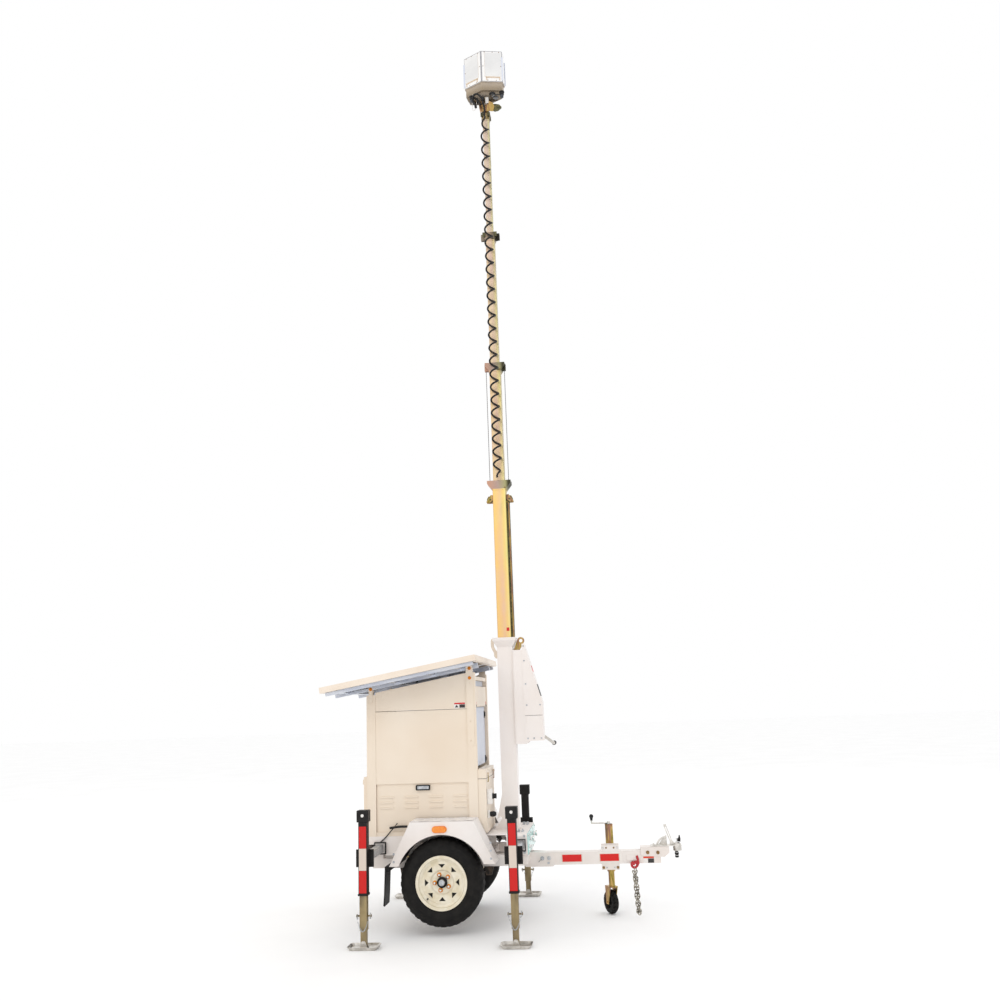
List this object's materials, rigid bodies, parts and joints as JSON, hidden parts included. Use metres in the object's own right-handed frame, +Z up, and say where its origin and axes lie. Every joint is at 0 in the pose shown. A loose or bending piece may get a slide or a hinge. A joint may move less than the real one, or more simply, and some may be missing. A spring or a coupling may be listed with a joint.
{
  "type": "solar mast trailer",
  "caption": "Single-axle solar trailer with a cabinet, tilting solar array, four-section telescopic mast with a hexagonal head, and outrigger legs.",
  "frame": {"origin": "on the ground plane under the middle of the bounding box: halfway between the array's rear edge and the coupling's nose, on the trailer's centre plane", "axes": "+X towards the coupling, +Y to the trailer's left, +Z up"},
  "size_m": [2.7365, 1.95, 7.757],
  "materials": {
    "cream_paint": "satin",
    "black_steel": "satin",
    "spring_steel": "dull",
    "black_rubber": "matt",
    "amber_lens": "gloss",
    "battery_case": "matt",
    "yellow_zinc": "satin",
    "zinc_steel": "satin",
    "dull_zinc": "dull",
    "array_aluminium": "satin",
    "solar_laminate": "gloss",
    "head_shell": "satin",
    "head_tray_plastic": "satin",
    "tyre": "matt",
    "rim_paint": "gloss"
  },
  "bodies": {
    "trailer": {"chassis_frame": "cream_paint", "mast_base": "cream_paint", "drawbar": "cream_paint", "axle_beam": "black_steel", "leaf_springs": "spring_steel", "fenders": "cream_paint", "mudflaps": "black_rubber", "marker_lamps": "amber_lens", "cabinet_frame": "cream_paint", "side_panels": "cream_paint", "louvre_panels": "cream_paint", "front_cover": "cream_paint", "front_locker": "cream_paint", "batteries": "battery_case", "mast_column": "cream_paint", "winch_cover": "cream_paint", "lifting_eye": "yellow_zinc", "jack_body": "yellow_zinc", "coupling_body": "zinc_steel", "safety_chain": "zinc_steel"},
    "rear_door": {"rear_door": "cream_paint"},
    "locker_lid": {"locker_lid": "cream_paint"},
    "lid_latches": {"lid_latches": "yellow_zinc"},
    "solar_array": {"array_frame": "array_aluminium", "solar_panels": "solar_laminate"},
    "tilt_straps": {"tilt_straps": "cream_paint"},
    "mast_1": {"mast_section_1": "yellow_zinc", "coil_cable": "black_rubber", "lift_ropes": "zinc_steel"},
    "mast_2": {"mast_section_2": "yellow_zinc"},
    "mast_3": {"mast_section_3": "yellow_zinc"},
    "mast_4": {"mast_section_4": "yellow_zinc", "head_neck": "yellow_zinc", "head_housing": "head_shell", "head_tray": "head_tray_plastic", "head_cable": "black_rubber"},
    "winch_crank": {"winch_crank": "zinc_steel"},
    "wheel_right": {"tyre_right": "tyre", "rim_right": "rim_paint", "hub_right": "black_steel"},
    "wheel_left": {"tyre_left": "tyre", "rim_left": "rim_paint", "hub_left": "black_steel"},
    "jack_slide": {"jack_slide": "yellow_zinc"},
    "jockey_fork": {"jockey_fork": "yellow_zinc"},
    "jockey_wheel": {"jockey_wheel": "tyre"},
    "jack_crank": {"jack_crank": "zinc_steel"},
    "coupling_lever": {"coupling_lever": "zinc_steel"},
    "outrigger_rr": {"outrigger_rr": "zinc_steel"},
    "drop_leg_rr": {"drop_leg_rr": "dull_zinc"},
    "foot_rr": {"foot_rr": "zinc_steel"},
    "outrigger_rl": {"outrigger_rl": "zinc_steel"},
    "drop_leg_rl": {"drop_leg_rl": "dull_zinc"},
    "foot_rl": {"foot_rl": "zinc_steel"},
    "outrigger_fr": {"outrigger_fr": "zinc_steel"},
    "drop_leg_fr": {"drop_leg_fr": "dull_zinc"},
    "foot_fr": {"foot_fr": "zinc_steel"},
    "outrigger_fl": {"outrigger_fl": "zinc_steel"},
    "drop_leg_fl": {"drop_leg_fl": "dull_zinc"},
    "foot_fl": {"foot_fl": "zinc_steel"}
  },
  "joints": [
    {"name": "wheel_right_spin", "type": "hinge", "parent": "trailer", "child": "wheel_right", "pos_m": [-0.4554, -0.508, 0.375], "axis": [0, 1, 0], "continuous": true},
    {"name": "wheel_left_spin", "type": "hinge", "parent": "trailer", "child": "wheel_left", "pos_m": [-0.4554, 0.508, 0.375], "axis": [0, 1, 0], "continuous": true},
    {"name": "rear_door_hinge", "type": "hinge", "parent": "trailer", "child": "rear_door", "pos_m": [-1.0874, 0.375, 0.9], "axis": [0, 0, -1], "range_deg": [0, 110]},
    {"name": "locker_lid_hinge", "type": "hinge", "parent": "trailer", "child": "locker_lid", "pos_m": [-0.1794, 0, 1.175], "axis": [0, -1, 0], "range_deg": [0, 80]},
    {"name": "lid_latch_hinge", "type": "hinge", "parent": "locker_lid", "child": "lid_latches", "pos_m": [-0.1134, 0, 1.136], "axis": [0, -1, 0], "range_deg": [0, 100]},
    {"name": "solar_array_hinge", "type": "hinge", "parent": "trailer", "child": "solar_array", "pos_m": [-1.0344, 0, 1.819], "axis": [0, -1, 0], "range_deg": [0, 30]},
    {"name": "tilt_strap_pivot", "type": "hinge", "parent": "solar_array", "child": "tilt_straps", "pos_m": [-0.22786, 0, 1.95542], "axis": [0, -1, 0], "range_deg": [-9.2, 0.2]},
    {"name": "mast_1_slide", "type": "slide", "parent": "trailer", "child": "mast_1", "axis": [0, 0, 1], "range_m": [-1.15, 0]},
    {"name": "mast_2_slide", "type": "slide", "parent": "mast_1", "child": "mast_2", "axis": [0, 0, 1], "range_m": [-0.98, 0], "deforming": ["lift_ropes", "coil_cable"]},
    {"name": "mast_3_slide", "type": "slide", "parent": "mast_2", "child": "mast_3", "axis": [0, 0, 1], "range_m": [-1.08, 0]},
    {"name": "mast_4_slide", "type": "slide", "parent": "mast_3", "child": "mast_4", "axis": [0, 0, 1], "range_m": [-1.1, 0]},
    {"name": "winch_crank_turn", "type": "hinge", "parent": "trailer", "child": "winch_crank", "pos_m": [0.2116, 0, 1.47], "axis": [0, 1, 0], "continuous": true},
    {"name": "outrigger_rr_slide", "type": "slide", "parent": "trailer", "child": "outrigger_rr", "axis": [0, 1, 0], "range_m": [0, 0.4]},
    {"name": "drop_leg_rr_slide", "type": "slide", "parent": "outrigger_rr", "child": "drop_leg_rr", "axis": [0, 0, 1], "range_m": [-0.1, 0.12]},
    {"name": "foot_rr_tilt", "type": "hinge", "parent": "drop_leg_rr", "child": "foot_rr", "pos_m": [-0.9654, -0.9, 0.044], "axis": [0, 1, 0], "range_deg": [-12, 12]},
    {"name": "outrigger_rl_slide", "type": "slide", "parent": "trailer", "child": "outrigger_rl", "axis": [0, -1, 0], "range_m": [0, 0.4]},
    {"name": "drop_leg_rl_slide", "type": "slide", "parent": "outrigger_rl", "child": "drop_leg_rl", "axis": [0, 0, 1], "range_m": [-0.1, 0.12]},
    {"name": "foot_rl_tilt", "type": "hinge", "parent": "drop_leg_rl", "child": "foot_rl", "pos_m": [-1.0304, 0.9, 0.044], "axis": [0, 1, 0], "range_deg": [-12, 12]},
    {"name": "outrigger_fr_slide", "type": "slide", "parent": "trailer", "child": "outrigger_fr", "axis": [0, 1, 0], "range_m": [0, 0.4]},
    {"name": "drop_leg_fr_slide", "type": "slide", "parent": "outrigger_fr", "child": "drop_leg_fr", "axis": [0, 0, 1], "range_m": [-0.1, 0.12]},
    {"name": "foot_fr_tilt", "type": "hinge", "parent": "drop_leg_fr", "child": "foot_fr", "pos_m": [0.1246, -0.9, 0.044], "axis": [0, 1, 0], "range_deg": [-12, 12]},
    {"name": "outrigger_fl_slide", "type": "slide", "parent": "trailer", "child": "outrigger_fl", "axis": [0, -1, 0], "range_m": [0, 0.4]},
    {"name": "drop_leg_fl_slide", "type": "slide", "parent": "outrigger_fl", "child": "drop_leg_fl", "axis": [0, 0, 1], "range_m": [-0.1, 0.12]},
    {"name": "foot_fl_tilt", "type": "hinge", "parent": "drop_leg_fl", "child": "foot_fl", "pos_m": [0.0596, 0.9, 0.044], "axis": [0, 1, 0], "range_deg": [-12, 12]},
    {"name": "jack_slide_z", "type": "slide", "parent": "trailer", "child": "jack_slide", "axis": [0, 0, 1], "range_m": [-0.1, 0.11]},
    {"name": "jockey_caster", "type": "hinge", "parent": "jack_slide", "child": "jockey_fork", "pos_m": [0.8046, 0.0895, 0.21], "axis": [0, 0, 1], "continuous": true},
    {"name": "jockey_spin", "type": "hinge", "parent": "jockey_fork", "child": "jockey_wheel", "pos_m": [0.79051, 0.11599, 0.093], "axis": [0.8829, 0.4695, 0], "continuous": true},
    {"name": "jack_crank_turn", "type": "hinge", "parent": "trailer", "child": "jack_crank", "pos_m": [0.8046, 0.0895, 0.7], "axis": [0, 0, 1], "continuous": true},
    {"name": "coupling_lever_pull", "type": "hinge", "parent": "trailer", "child": "coupling_lever", "pos_m": [1.2946, 0, 0.545], "axis": [0, 1, 0], "range_deg": [0, 30]}
  ],
  "couplings": [
    {"joint": "mast_2_slide", "follows": "mast_1_slide", "ratio": 0.852},
    {"joint": "mast_3_slide", "follows": "mast_1_slide", "ratio": 0.939},
    {"joint": "mast_4_slide", "follows": "mast_1_slide", "ratio": 0.9565},
    {"joint": "tilt_strap_pivot", "follows": "solar_array_hinge", "ratio": -0.3}
  ]
}
